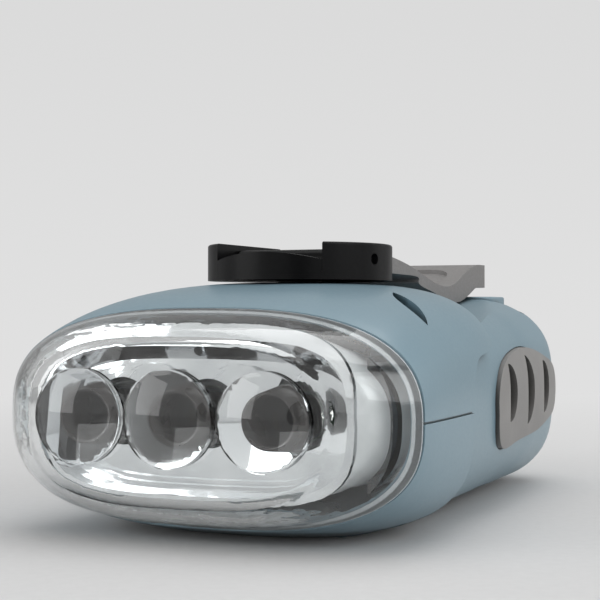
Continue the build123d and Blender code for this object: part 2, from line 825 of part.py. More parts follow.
def arm_slab():
    """Side view of the whole arm from the pin to its end, drawn out to the full width."""
    top = [(0, pin_y, pin_z + barrel_radius)] + [arm_point(pair) for pair in arm_top_shares]
    top_end = (0, pin_y + arm_flat_share * arm_reach, arm_top_z)
    low_start = (0, pin_y + arm_flat_share * arm_reach, arm_low_z)
    bottom = [arm_point(pair) for pair in arm_bottom_shares]
    barrel_low = (0, pin_y, pin_z - barrel_radius)
    end_y = pin_y + arm_reach
    upper = Spline(*top, top_end, tangents=[(0, 1, 0), (0, 1, 0)])
    lower = Spline(low_start, *bottom, tangents=[(0, -1, 0), (0, -1, 0)])
    tip = Polyline(top_end, (0, end_y, arm_top_z), (0, end_y, arm_low_z), low_start)
    front = ThreePointArc(barrel_low, (0, pin_y - barrel_radius, pin_z), top[0])
    face = make_face(Wire([upper, *tip.edges(), lower, Line(bottom[-1], barrel_low), front]))
    return Pos(-arm_width / 2, 0, 0) * extrude(face, amount=arm_width, dir=(1, 0, 0))


def tongue(slab):
    """Thin blade of the neck that is moulded into the arm."""
    core = (Pos(0, 0, tongue_cover) * slab) & (Pos(0, 0, -tongue_cover) * slab)
    start = hub_y + hub_radius - tongue_length
    half = neck_half_width - 2 * tongue_cover
    return core & block((-half, half), (start, hub_y + arm_start_radius + tongue_length),
                        (arm_low_z - arm_width, arm_top_z))


def crank_neck():
    """Black neck between the ears: it turns on the fold pin and carries the grey arm."""
    slab = arm_slab()
    low, high = pin_z - arm_width, pin_z + arm_width
    plan = block((-neck_half_width, neck_half_width), (pin_y - overrun, hub_y + arm_start_radius + overrun),
                 (low, high))
    plan = plan & cylinder(arm_start_radius, low, high, 0, hub_y)
    neck = (slab & plan) + tongue(slab)
    return neck - crosswise_cylinder(fold_pin_radius + running_clearance, arm_width, pin_y, pin_z)


def crank_arm():
    slab = arm_slab()
    low, high = pin_z - 2 * arm_width, pin_z + arm_width
    broad = block((-arm_width / 2, arm_width / 2), (hub_y, pin_y + arm_reach), (low, high))
    broad = fillet(broad.edges().filter_by(Axis.Z).sort_by(Axis.Y)[-2:], arm_corner_radius)
    arm = slab & (broad - cylinder(arm_start_radius, low, high, 0, hub_y))
    scoop_start = pin_y + arm_scoop_start_share * arm_reach
    scoop_end = pin_y + arm_scoop_end_share * arm_reach
    dish = block((-arm_scoop_width / 2, arm_scoop_width / 2), (scoop_start, scoop_end), (low, high))
    dish = fillet(dish.edges().filter_by(Axis.Z), arm_scoop_width / 4)
    arm = arm - (dish - Pos(0, 0, -arm_scoop_depth) * slab)
    arm = arm - tongue(slab)
    recess = arm_low_z + knob_recess
    arm = arm - cylinder(knob_radius + free_clearance, low, recess, 0, knob_y)
    return arm - cylinder(rivet_radius, recess, arm_top_z - arm_skin, 0, knob_y)


knob_top = arm_low_z + knob_recess - fit_clearance
knob_bottom = knob_top - knob_thickness


def crank_knob():
    knob = cylinder(knob_radius, knob_bottom, knob_top, 0, knob_y)
    knob = fillet(knob.edges().filter_by(GeomType.CIRCLE).sort_by(Axis.Z)[0], arm_round)
    ball = (knob_dimple_radius ** 2 + knob_dimple_depth ** 2) / (2 * knob_dimple_depth)
    knob = knob - Pos(0, knob_y, knob_bottom + knob_dimple_depth - ball) * Sphere(ball)
    knob = knob - cylinder(rivet_head_radius + fit_clearance, knob_bottom, knob_bottom + knob_dimple_depth, 0,
                           knob_y)
    return knob - cylinder(rivet_radius + running_clearance, knob_bottom, knob_top, 0, knob_y)


def knob_rivet():
    """Headed pin, pressed into the arm from below."""
    low = knob_bottom + knob_dimple_depth
    rivet = cylinder(rivet_radius, low - rivet_head_height, arm_top_z - arm_skin, 0, knob_y)
    return rivet + cylinder(rivet_head_radius, low - rivet_head_height, low - running_clearance, 0, knob_y)


def involute(angle):
    return tan(angle) - angle


def gear_outline(teeth, phase):
    """Closed outline of a spur gear about the origin, with a tooth centred on the phase angle."""
    pitch_radius = gear_module * teeth / 2
    base_radius = pitch_radius * cos(radians(pressure_angle))
    tip = pitch_radius + addendum_share * gear_module
    root = pitch_radius - dedendum_share * gear_module
    half_tooth = (pi * gear_module / 2 - tooth_backlash) / (2 * pitch_radius)
    inv_pitch = involute(radians(pressure_angle))
    low = max(root, base_radius)
    flank = []
    for step in range(flank_steps + 1):
        radius = low + (tip - low) * step / flank_steps
        roll = involute(acos(min(1, base_radius / radius)))
        flank.append((radius, half_tooth + inv_pitch - roll))
    if root < base_radius:
        flank.insert(0, (root, flank[0][1]))
    points = []
    for tooth in range(teeth):
        middle = phase + 2 * pi * tooth / teeth
        points += [(radius * cos(middle - half), radius * sin(middle - half)) for radius, half in flank]
        points += [(radius * cos(middle + half), radius * sin(middle + half)) for radius, half in flank[::-1]]
    return points


def gear(teeth, low, phase, place):
    outline = Polyline(*[(x, y, 0) for x, y in gear_outline(teeth, phase)], close=True)
    wheel = extrude(make_face(outline), amount=gear_thickness, dir=(0, 0, 1))
    return Pos(place[0], place[1], low) * wheel


def direction(bearing):
    """Angle from +X of a bearing from +Y towards +X."""
    return pi / 2 - radians(bearing)


def gap_phase(teeth, bearing):
    """Phase that turns a gap, not a tooth, to the gear that drives this one."""
    return direction(bearing) + pi + pi / teeth


def drive_gear():
    wheel = gear(drive_teeth, level_a, direction(idler_1_bearing), hub_axis)
    wheel = wheel + cylinder(stem_radius, level_a, stem_bottom - free_clearance, *hub_axis)
    for turn in range(6):
        angle = 2 * pi * turn / 6
        reach = gear_module * drive_teeth / 4 + stem_radius / 2
        wheel = wheel - cylinder(stem_radius, level_a, gears_top, reach * cos(angle),
                                 hub_y + reach * sin(angle))
    return wheel - cylinder(shaft_radius, level_a, stem_bottom, *hub_axis)


def idler(place, wheel_teeth, wheel_low, wheel_bearing, pinion_low, pinion_bearing, ends):
    body = gear(wheel_teeth, wheel_low, direction(wheel_bearing), place)
    body = body + gear(pinion_teeth, pinion_low, gap_phase(pinion_teeth, pinion_bearing), place)
    body = body + cylinder(sleeve_radius, ends[0], ends[1], *place)
    return body - cylinder(axle_radius + running_clearance, ends[0], ends[1], *place)


def generator_rotor():
    low = magnet_floor
    body = gear(pinion_teeth, level_c, gap_phase(pinion_teeth, rotor_bearing), rotor_axis)
    body = body + cylinder(sleeve_radius, low, level_c, *rotor_axis)
    return body - cylinder(axle_radius + running_clearance, low, level_c + gear_thickness, *rotor_axis)


def rotor_magnet():
    ring = cylinder(magnet_radius, magnet_floor, magnet_floor + magnet_height, *rotor_axis)
    return ring - cylinder(sleeve_radius, magnet_floor, magnet_floor + magnet_height, *rotor_axis)


def stator_core():
    top = stator_floor + stator_height
    core = cylinder(stator_radius, stator_floor, top, *rotor_axis)
    core = core - cylinder(stator_radius - stator_sheet, stator_floor + stator_sheet, top - stator_sheet,
                           *rotor_axis)
    core = core - cylinder(stator_bore_radius, stator_floor, top, *rotor_axis)
    middle = stator_bore_radius + stator_sheet / 2
    for turn in range(claw_count):
        low = stator_floor if turn % 2 else top - claw_height
        claw = Pos(middle, 0, low + claw_height / 2) * Box(stator_sheet, claw_width, claw_height)
        core = core + Pos(*rotor_axis, 0) * Rot(0, 0, 360 * turn / claw_count) * claw
    return core


def stator_coil():
    low = stator_floor + stator_sheet + coil_gap
    high = stator_floor + stator_height - stator_sheet - coil_gap
    inner = hypot(stator_bore_radius + stator_sheet, claw_width / 2) + coil_gap
    ring = cylinder(stator_radius - stator_sheet - coil_gap, low, high, *rotor_axis)
    return ring - cylinder(inner, low, high, *rotor_axis)


def gear_plate():
    half = plate_width / 2
    plate = block((-half, half), (at(plate_start), at(plate_end)), (gear_plate_height, plate_top))
    plate = fillet(plate.edges().filter_by(Axis.Z), plate_corner_radius)
    plate = plate - cylinder(shaft_radius + running_clearance, 0, plate_top, *hub_axis)
    plate = plate - cylinder(sleeve_radius + free_clearance, 0, plate_top, *rotor_axis)
    for place in (idler_1_axis, idler_2_axis):
        plate = plate - cylinder(axle_radius, 0, plate_top, *place)
    for x, y in plate_post_places:
        plate = plate - cylinder(plate_screw_radius, 0, plate_top, x, y)
    return plate


def axle(place, low):
    return cylinder(axle_radius, low, axle_top, *place)


def screw_group(places, radius, head_radius, seat, head_height, tip):
    screws = []
    for x, y in places:
        ends = sorted((seat, tip))
        head_ends = sorted((seat, seat + head_height))
        screw = cylinder(radius, *ends, x, y) + cylinder(head_radius, *head_ends, x, y)
        cross = block((-head_radius * screw_cross_share, head_radius * screw_cross_share),
                      (-radius / 4, radius / 4), sorted((seat + head_height, seat + head_height / 2)))
        cross = cross + Rot(0, 0, 90) * cross
        screws.append(screw - Pos(x, y, 0) * cross)
    return Compound(children=screws)


def housing_screws():
    return screw_group(screw_places, screw_radius, screw_head_radius, screw_seat_height, -screw_head_height,
                       screw_seat_height + screw_length)


def plate_screws():
    return screw_group(plate_post_places, plate_screw_radius, plate_screw_head_radius, plate_top,
                       fit_clearance + free_clearance, plate_top - plate_screw_length)


battery_z = battery_floor + cell_radius + fit_clearance


def battery():
    """Stack of button cells, each with a shallow step between it and the next."""
    half = cell_count * cell_length / 2
    stack = crosswise_cylinder(cell_radius - free_clearance, half, battery_y, battery_z)
    for turn in range(cell_count):
        middle = (turn - (cell_count - 1) / 2) * cell_length
        cell = Pos(middle, battery_y, battery_z) * Rot(0, 90, 0) * Cylinder(
            cell_radius, cell_length - 2 * free_clearance)
        stack = stack + cell
    return stack


def battery_cradle():
    half = cradle_width / 2
    depth = cradle_depth / 2
    body = block((-half, half), (battery_y - depth, battery_y + depth),
                 (battery_floor, battery_floor + cradle_height))
    return body - crosswise_cylinder(cell_radius + fit_clearance, cradle_width, battery_y,
                                     battery_z + running_clearance)


def control_board():
    half = control_board_width / 2
    depth = control_board_length / 2
    return block((-half, half), (board_y - depth, board_y + depth),
                 (control_board_height, control_board_height + board_thickness))


board_top = control_board_height + board_thickness


def capacitor():
    x = control_board_width / 4
    return cylinder(capacitor_radius, board_top, board_top + capacitor_height, x,
                    board_y - control_board_length / 4)


def diode_bridge():
    x = -control_board_width / 4
    y = board_y + control_board_length / 4
    return block((x - bridge_width / 2, x + bridge_width / 2), (y - bridge_length / 2, y + bridge_length / 2),
                 (board_top, board_top + bridge_height))


switch_body_low = control_board_height - switch_body_height


def switch_body():
    body = block((-switch_body_width / 2, switch_body_width / 2),
                 (switch_y - switch_body_length / 2, switch_y + switch_body_length / 2),
                 (switch_body_low, control_board_height))
    half = (switch_stem_length + switch_travel) / 2 + fit_clearance
    slot = block((-switch_stem_width / 2 - fit_clearance, switch_stem_width / 2 + fit_clearance),
                 (switch_y - half, switch_y + half), (switch_body_low, switch_body_low + switch_stem_width))
    return body - slot


def switch_slider():
    """Sliding button in the underside, at the forward end of its travel."""
    y = switch_y - switch_travel / 2
    top = switch_recess_depth - running_clearance
    low = top - switch_slider_thickness
    slider = block((-switch_knob_width / 2, switch_knob_width / 2),
                   (y - switch_knob_length / 2, y + switch_knob_length / 2), (low, top))
    slider = slider + block((-switch_stem_width / 2, switch_stem_width / 2),
                            (y - switch_stem_length / 2, y + switch_stem_length / 2),
                            (low, switch_body_low + switch_stem_width - fit_clearance))
    pitch = switch_knob_length / (switch_ridge_count + 1)
    for turn in range(switch_ridge_count):
        ridge_y = y - switch_knob_length / 2 + pitch * (turn + 1)
        slider = slider - block((-switch_knob_width, switch_knob_width),
                                (ridge_y - pitch / 5, ridge_y + pitch / 5), (0, low + switch_ridge_depth))
    return slider


def grip_pad(side):
    """Rubber pad with crescent grooves, let into one flank."""
    height = pad_high - pad_low
    slots = []
    for turn, (low_share, high_share) in enumerate(pad_groove_shares):
        y = at(pad_start + pad_groove_start + pad_groove_pitch * turn)
        low, high = pad_low + low_share * height, pad_low + high_share * height
        face = make_face(Wire([
            Line((0, y, low), (0, y, high)),
            ThreePointArc((0, y, high), (0, y + pad_groove_width, (low + high) / 2), (0, y, low))]))
        slots.append(extrude(face, amount=housing_width, dir=(1, 0, 0)))
    prism, grooves = pad_prism(0), Part() + slots
    halves = []
    for part in (1, -1):
        half = (grip_half(-pad_proud, part) & prism) - grip_half(pad_sink, part)
        halves.append(half - (grooves - grip_half(pad_groove_depth - pad_proud, part)))
    pad = halves[0] + halves[1]
    return pad if side > 0 else mirror(pad, about=Plane.YZ)


def build():
    made = {
        "upper_shell": upper_shell(),
        "lower_shell": lower_shell(),
        "lens_cover": lens_cover(),
        "rim_seal": rim_seal(),
        "reflector": reflector(),
        "reflector_frame": reflector_frame(),
        "diode_board": diode_board(),
        "diode_board_spacers": diode_board_posts(),
        "crank_hub": crank_hub(),
        "crank_shaft": crank_shaft(),
        "shaft_bush": shaft_bush(),
        "shaft_clip": shaft_clip(),
        "fold_pin": fold_pin(),
        "crank_neck": crank_neck(),
        "crank_arm": crank_arm(),
        "crank_knob": crank_knob(),
        "knob_rivet": knob_rivet(),
        "drive_gear": drive_gear(),
        "idler_gear_1": idler(idler_1_axis, idler_1_teeth, level_b, idler_2_bearing, level_a,
                              idler_1_bearing, (plate_top + fit_clearance, gears_top)),
        "idler_gear_2": idler(idler_2_axis, idler_2_teeth, level_c, rotor_bearing, level_b,
                              idler_2_bearing, (plate_top + fit_clearance, level_b + gear_thickness)),
        "generator_rotor": generator_rotor(),
        "rotor_magnet": rotor_magnet(),
        "stator_core": stator_core(),
        "stator_coil": stator_coil(),
        "gear_plate": gear_plate(),
        "idler_axle_1": axle(idler_1_axis, gear_plate_height),
        "idler_axle_2": axle(idler_2_axis, gear_plate_height),
        "rotor_axle": axle(rotor_axis, axle_floor),
        "housing_screws": housing_screws(),
        "plate_screws": plate_screws(),
        "battery": battery(),
        "battery_cradle": battery_cradle(),
        "control_board": control_board(),
        "capacitor": capacitor(),
        "diode_bridge": diode_bridge(),
        "switch_body": switch_body(),
        "switch_slider": switch_slider(),
        "grip_right": grip_pad(1),
        "grip_left": grip_pad(-1),
    }
    for number, x in enumerate(lens_x, start=1):
        made[f"diode_{number}"] = diode(x)
    return made


os.makedirs("parts", exist_ok=True)
for node, shape in build().items():
    save(node, shape)
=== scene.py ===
"""Hand crank flashlight, dressed for the photograph's view: clear front, plated reflector, folded crank."""
import json
from math import pi, radians

import bmesh
import bpy
from mathutils import Euler, Matrix, Vector

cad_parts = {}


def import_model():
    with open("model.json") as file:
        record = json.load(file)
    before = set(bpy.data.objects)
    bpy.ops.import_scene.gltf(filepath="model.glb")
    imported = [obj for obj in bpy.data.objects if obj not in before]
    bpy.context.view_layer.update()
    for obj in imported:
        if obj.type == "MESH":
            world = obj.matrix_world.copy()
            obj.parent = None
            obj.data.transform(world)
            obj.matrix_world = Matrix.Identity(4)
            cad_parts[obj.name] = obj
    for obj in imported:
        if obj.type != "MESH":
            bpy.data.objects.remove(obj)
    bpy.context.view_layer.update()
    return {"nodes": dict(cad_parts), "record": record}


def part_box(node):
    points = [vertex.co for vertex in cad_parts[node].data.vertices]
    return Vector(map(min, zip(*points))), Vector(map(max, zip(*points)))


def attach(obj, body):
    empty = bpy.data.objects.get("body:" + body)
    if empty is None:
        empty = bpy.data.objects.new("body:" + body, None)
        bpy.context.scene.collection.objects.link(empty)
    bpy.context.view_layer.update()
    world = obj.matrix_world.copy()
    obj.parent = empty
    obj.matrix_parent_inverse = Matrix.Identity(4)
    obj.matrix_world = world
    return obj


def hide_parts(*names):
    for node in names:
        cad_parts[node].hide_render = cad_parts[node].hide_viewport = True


MM = 0.001

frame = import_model()
bodies = frame["record"]["behaviour"]["bodies"]
body_of = {node: body for body, nodes in bodies.items() for node in nodes}
slot_of = {part["node"]: part["material_slot"] for part in frame["record"]["subparts"]}

# Camera, as fitted to the photograph
IMAGE_WIDTH_PX = 600
FOCAL_PX = 1423.9
CAMERA_PLACE = Vector((88.85, -212.67, 31.16)) * MM
CAMERA_YAW_DEG = 23.856
CAMERA_PITCH_DEG = 0.426
SENSOR_MM = 36.0
CLIP_NEAR, CLIP_FAR = 0.01, 20

# Floor and backdrop, one sheet in metres: level from near to far, then a quarter bend and straight up
FLOOR_NEAR, FLOOR_FAR, FLOOR_HALF_WIDTH = -2.5, 2.2, 4.0
BACKDROP_BEND, BACKDROP_HEIGHT, BEND_STEPS = 0.8, 3.0, 12
# The floor lies just under the flashlight, so that the two don't share a plane
FLOOR_DROP = 0.1 * MM
FLOOR_DARK, FLOOR_LIGHT = "C9C9C9", "CCCCCC"
# The backdrop's even grey at the bottom and at its top height, and where along the floor it takes over
BACKDROP_LOW, BACKDROP_TOP, BACKDROP_TOP_HEIGHT = "E0E0E0", "DBDBDB", 0.7
EVEN_FROM, EVEN_TO = 0.0, 0.3

# Round dark card at the camera, and the sky round the stage from straight down to straight up
CARD_RADIUS, CARD_SEGMENTS, CARD_PLACE = 0.05, 48, (0.09, -0.222, 0.035)
SKY_STOPS = [(0.0, "C8C8C8"), (0.5, "ECECEC"), (0.7, "F2F2F2"), (0.85, "B4B4B4")]
SKY_STRENGTH = 1.05

# Square soft lights: place, the point that they face, width and power in watts
LAMPS = {
    "overhead_softbox": ((0.1, 0.1, 0.9), (0, 0, 0), 0.9, 4.4),
    "right_softbox": ((0.9, -0.1, 0.45), (0, 0, 0.02), 0.6, 2.4),
    "left_softbox": ((-0.7, -0.7, 0.3), (0, 0, 0.02), 0.6, 2.4),
}

# CAD nodes that show, which get merged and smooth-shaded copies
SMOOTH_NODES = [
    "upper_shell", "lower_shell", "lens_cover", "rim_seal", "reflector", "reflector_frame", "crank_hub",
    "crank_neck", "crank_arm", "crank_knob", "knob_rivet", "fold_pin", "grip_right", "grip_left",
    "diode_1", "diode_2", "diode_3", "housing_screws", "switch_slider",
]
DIODES = ["diode_1", "diode_2", "diode_3"]
MERGE_DISTANCE = 0.002 * MM
SHARP_ANGLE_DEG = 32

# What shows of a diode, measured back from its nose in mm: start, depth, front and back radius
CORE_SIZES_MM = {
    "phosphor": (2.75, 0.15, 0.7, 0.7),
    "anvil": (2.9, 1.1, 1.05, 0.6),
    "base": (4.6, 0.5, 2.2, 2.2),
}
CORE_SEGMENTS = 32
# Dark sleeve round a diode, measured in the same way, with its wall inwards; it is there only to give each
# lens a dark centre, as a painted dark reflection
LENS_DARKENER_SIZES_MM = (-7.6, 10.6, 3.3, 3.05)
LENS_DARKENER_SEGMENTS = 64
LENS_DARKENER_WALL, INWARDS = 0.5 * MM, -1

# Places of a noise's low and high values, which the two tones of a finish are tied to
NOISE_LOW, NOISE_HIGH = 0.3, 0.7
# A metal's marks make it this share smoother and rougher
MARK_SPREAD = 0.2
# Samples of the occlusion that paints shade into creases
CREASE_SAMPLES = 8
# Sockets of a colour mix, which share their names with the other kinds of mix
MIX_SHARE, MIX_FIRST, MIX_SECOND, MIX_RESULT = 0, 6, 7, 2


def linear(code):
    """Linear colour of an sRGB hex value."""
    parts = [int(code[place:place + 2], 16) / 255 for place in (0, 2, 4)]
    return (*[part / 12.92 if part <= 0.04045 else ((part + 0.055) / 1.055) ** 2.4 for part in parts], 1.0)


def per_mm(size):
    """Texture scale that gives features of this many millimetres on Object coordinates."""
    return 1 / (size * MM)


def add(tree, kind, inputs=None, stops=(), **settings):
    """Adds a shader node with its settings and its (place, sRGB hex) stops, and links or sets its inputs."""
    made = tree.nodes.new("ShaderNode" + kind)
    for name, value in settings.items():
        setattr(made, name, value)
    for name, value in (inputs or {}).items():
        if isinstance(value, bpy.types.NodeSocket):
            tree.links.new(value, made.inputs[name])
        else:
            made.inputs[name].default_value = value
    while stops and len(made.color_ramp.elements) < len(stops):
        made.color_ramp.elements.new(1.0)
    for number, (place, code) in enumerate(stops):
        made.color_ramp.elements[number].position = place
        made.color_ramp.elements[number].color = linear(code)
    return made


def two_tones(tree, noise, dark, light):
    """Soft change between two close tones as a noise goes from low to high."""
    tones = add(tree, "ValToRGB", {"Fac": noise}, stops=[(NOISE_LOW, dark), (NOISE_HIGH, light)])
    return tones.outputs["Color"]


def new_material(name):
    """Empty material and its tree of nodes."""
    made = bpy.data.materials.new(name)
    made.use_nodes = True
    made.node_tree.nodes.clear()
    return made, made.node_tree


def finish_material(tree, inputs):
    """Closes a material with one surface shader that has these inputs."""
    shader = add(tree, "BsdfPrincipled", inputs)
    add(tree, "OutputMaterial", {"Surface": shader.outputs["BSDF"]})


def grain(tree, size_mm, strength, detail=3.0, depth_mm=0.05):
    """Fine moulded texture: coordinates, a noise of this size and the bump that it makes.

    The real grain of these finishes is mostly finer, and is drawn as coarse as it needs to be to show.
    """
    place = add(tree, "TexCoord").outputs["Object"]
    noise = add(tree, "TexNoise", {"Vector": place, "Scale": per_mm(size_mm), "Detail": detail})
    height = noise.outputs["Fac"]
    bump = add(tree, "Bump", {"Height": height, "Strength": strength, "Distance": depth_mm * MM})
    return place, height, bump.outputs["Normal"]


def painted_crease_shade(tree, tone, dark, reach_mm, low, high):
    """Mixes in a dark tone where the surface is closed in: painted shade in creases and hollows."""
    closed = add(tree, "AmbientOcclusion", {"Distance": reach_mm * MM}, samples=CREASE_SAMPLES)
    share = add(tree, "MapRange", {"Value": closed.outputs["AO"], "From Min": low, "From Max": high})
    parts = {MIX_SHARE: share.outputs["Result"], MIX_FIRST: linear(dark), MIX_SECOND: tone}
    return add(tree, "Mix", parts, data_type="RGBA").outputs[MIX_RESULT]


def coated_abs():
    """Moulded ABS with a satin pearl coat: soft broad highlights, a faint fleck, and painted shade that
    darkens its creases.
    """
    made, tree = new_material("satin_coated_abs")
    place, fleck, normal = grain(tree, size_mm=0.5, strength=0.12)
    cloud = add(tree, "TexNoise", {"Vector": place, "Scale": per_mm(28), "Detail": 2.0})
    tone = two_tones(tree, cloud.outputs["Fac"], "6D8793", "748D99")
    # Painted shade: the tone goes darker where occlusion finds creases and hollows
    tone = painted_crease_shade(tree, tone, "3E5057", reach_mm=2.2, low=0.45, high=0.8)
    rough = add(tree, "MapRange", {"Value": fleck, "To Min": 0.34, "To Max": 0.46})
    finish_material(tree, {"Base Color": tone, "Roughness": rough.outputs["Result"], "Normal": normal,
                           "IOR": 1.52, "Coat Weight": 0.25, "Coat Roughness": 0.22})
    return made


def clear_polycarbonate():
    """Moulded clear polycarbonate: sharp reflections over very faint waves."""
    made, tree = new_material("clear_polycarbonate")
    _, _, normal = grain(tree, size_mm=6.0, strength=0.03, detail=1.0, depth_mm=0.1)
    finish_material(tree, {"Base Color": linear("FAFCFC"), "Roughness": 0.015, "Normal": normal,
                           "IOR": 1.49, "Transmission Weight": 1.0})
    return made


def plated_plastic():
    """Vacuum plated plastic: mirror bright, with the slight waviness of a thin moulding."""
    made, tree = new_material("vacuum_plated_plastic")
    _, wave, normal = grain(tree, size_mm=7.0, strength=0.25, detail=1.0, depth_mm=0.6)
    tone = add(tree, "ValToRGB", {"Fac": wave}, stops=[(0.2, "DADCDE"), (0.8, "F1F2F3")]).outputs["Color"]
    finish_material(tree, {"Base Color": tone, "Metallic": 1.0, "Roughness": 0.06, "Normal": normal})
    return made


def pale_polystyrene():
    """Pale moulded polystyrene: smooth, with a little metallic share that gives it a pearl shine."""
    made, tree = new_material("pale_polystyrene")
    _, wave, normal = grain(tree, size_mm=2.0, strength=0.08)
    tone = two_tones(tree, wave, "D8DBDC", "E4E6E7")
    finish_material(tree, {"Base Color": tone, "Roughness": 0.25, "Normal": normal, "Metallic": 0.3})
    return made


def black_abs():
    """Moulded black ABS: deep black and semi gloss, with a faint orange-peel grain and a low shine."""
    made, tree = new_material("black_abs")
    _, fleck, normal = grain(tree, size_mm=0.6, strength=0.1)
    tone = two_tones(tree, fleck, "080809", "0D0D0E")
    finish_material(tree, {"Base Color": tone, "Roughness": 0.3, "Normal": normal, "IOR": 1.5,
                           "Specular IOR Level": 0.12})
    return made


def grey_abs():
    """Moulded grey ABS with a spark-eroded texture: matt and slightly rough to the eye."""
    made, tree = new_material("textured_grey_abs")
    _, fleck, normal = grain(tree, size_mm=0.45, strength=0.35)
    tone = two_tones(tree, fleck, "716F6E", "7B7978")
    finish_material(tree, {"Base Color": tone, "Roughness": 0.48, "Normal": normal, "IOR": 1.53})
    return made


def soft_rubber():
    """Overmoulded thermoplastic rubber: matt, slightly uneven, with painted shade that darkens its grooves.
    """
    made, tree = new_material("thermoplastic_rubber")
    place, _, normal = grain(tree, size_mm=0.5, strength=0.3)
    cloud = add(tree, "TexNoise", {"Vector": place, "Scale": per_mm(9), "Detail": 3.0})
    tone = two_tones(tree, cloud.outputs["Fac"], "72706E", "7E7C7A")
    # Painted shade: the tone goes darker where occlusion finds the grooves
    tone = painted_crease_shade(tree, tone, "2B2A28", reach_mm=3.0, low=0.45, high=0.85)
    finish_material(tree, {"Base Color": tone, "Roughness": 0.6, "Normal": normal, "IOR": 1.5,
                           "Sheen Weight": 0.15})
    return made


def silicone_rubber():
    """Thin seal of pale silicone rubber, satin and a little milky."""
    made, tree = new_material("silicone_rubber")
    _, pore, normal = grain(tree, size_mm=0.4, strength=0.2)
    tone = two_tones(tree, pore, "BCC2C5", "C8CDD0")
    finish_material(tree, {"Base Color": tone, "Roughness": 0.5, "Normal": normal})
    return made


def clear_epoxy():
    """Cast clear epoxy of a round diode: glossy and clear, so that its core shows."""
    made, tree = new_material("clear_epoxy")
    _, _, normal = grain(tree, size_mm=2.0, strength=0.02)
    finish_material(tree, {"Base Color": linear("F4F6F2"), "Roughness": 0.03, "Normal": normal,
                           "IOR": 1.5, "Transmission Weight": 0.9})
    return made


def metal(name, dark, light, roughness, size_mm):
    """Metal with fine marks that vary its tone and shine."""
    made, tree = new_material(name)
    _, mark, normal = grain(tree, size_mm, strength=0.1)
    tone = two_tones(tree, mark, dark, light)
    smoothest, roughest = roughness * (1 - MARK_SPREAD), roughness * (1 + MARK_SPREAD)
    rough = add(tree, "MapRange", {"Value": mark, "To Min": smoothest, "To Max": roughest})
    finish_material(tree, {"Base Color": tone, "Metallic": 1.0, "Roughness": rough.outputs["Result"],
                           "Normal": normal})
    return made


def plain_plastic(name, dark, light, roughness, size_mm):
    """Inner moulding or laminate with an even roughness and a little grain."""
    made, tree = new_material(name)
    _, mark, normal = grain(tree, size_mm, strength=0.15)
    tone = two_tones(tree, mark, dark, light)
    finish_material(tree, {"Base Color": tone, "Roughness": roughness, "Normal": normal})
    return made


# The finish of each slot; metals and inner plastics have a dark and a light tone, roughness and mark size
materials = {
    "shell_plastic": coated_abs(),
    "clear_plastic": clear_polycarbonate(),
    "seal_rubber": silicone_rubber(),
    "plated_plastic": plated_plastic(),
    "frame_plastic": pale_polystyrene(),
    "black_plastic": black_abs(),
    "grey_plastic": grey_abs(),
    "grip_rubber": soft_rubber(),
    # Axles, screws and gear plate: bright and finely marked
    "steel": metal("bright_drawn_steel", "9C9EA1", "B4B6B9", 0.25, 0.5),
    # Crank's bush: brown, dull and open-grained
    "bronze": metal("sintered_bronze", "8A6A3C", "A98552", 0.4, 0.4),
    # Gears and rotor: milky white and slightly waxy
    "gear_plastic": plain_plastic("natural_acetal", "DAD8CE", "E6E4DB", 0.35, 0.8),
    # Ring magnet: almost black and dull
    "magnet": plain_plastic("sintered_ferrite", "2A2A2C", "3A3A3D", 0.5, 0.5),
    # Generator's core: cool grey with soft mottling
    "core_steel": metal("zinc_plated_steel", "93979A", "ADB1B2", 0.35, 0.6),
    # Generator's coil: red-brown and fairly shiny
    "coil_wire": metal("enamelled_copper", "8E4420", "B8683A", 0.35, 0.3),
    # Circuit boards: green with a satin varnish
    "board": plain_plastic("coated_glass_laminate", "1B5A34", "22693E", 0.3, 0.8),
    "diode_epoxy": clear_epoxy(),
    # Battery cells: the smoothest and brightest of the steels
    "cell_steel": metal("nickel_plated_steel", "A9AAAB", "C3C4C5", 0.18, 0.6),
    # Battery cradle, diode bridge and switch: black with a low shine
    "black_parts": plain_plastic("moulded_nylon", "1C1C1E", "28282B", 0.45, 0.5),
    # Capacitor's can: pale and satin
    "can_aluminium": metal("drawn_aluminium", "A5A7A9", "BEC0C2", 0.3, 0.5),
}
for node, thing in frame["nodes"].items():
    thing.data.materials.clear()
    thing.data.materials.append(materials[slot_of[node]])

# The pieces that are added to a diode, and the slot that each takes its finish from
core_materials = {
    # Light-giving patch: chalky yellow
    "phosphor": plain_plastic("phosphor_in_silicone", "C9B23A", "D8C44C", 0.5, 0.2),
    # Frame that carries the patch: pale and softly shiny
    "anvil": metal("silver_plated_copper", "A8A9AB", "BDBEC0", 0.25, 0.3),
    # Base and sleeve: almost black and glossy, with broad marks, because fine ones look dotted in the lenses;
    # the sleeve is a painted dark reflection in the lens centres
    "base": plain_plastic("smoked_epoxy", "1D1A18", "292422", 0.16, 3.0),
}


def new_mesh(name, work):
    """Mesh of this bmesh, which is freed."""
    mesh = bpy.data.meshes.new(name)
    work.to_mesh(mesh)
    work.free()
    return mesh


def new_piece(mesh, node):
    """Object of this mesh, at the origin, which moves with the node's body."""
    piece = bpy.data.objects.new(mesh.name, mesh)
    bpy.context.scene.collection.objects.link(piece)
    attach(piece, body_of[node])
    return piece


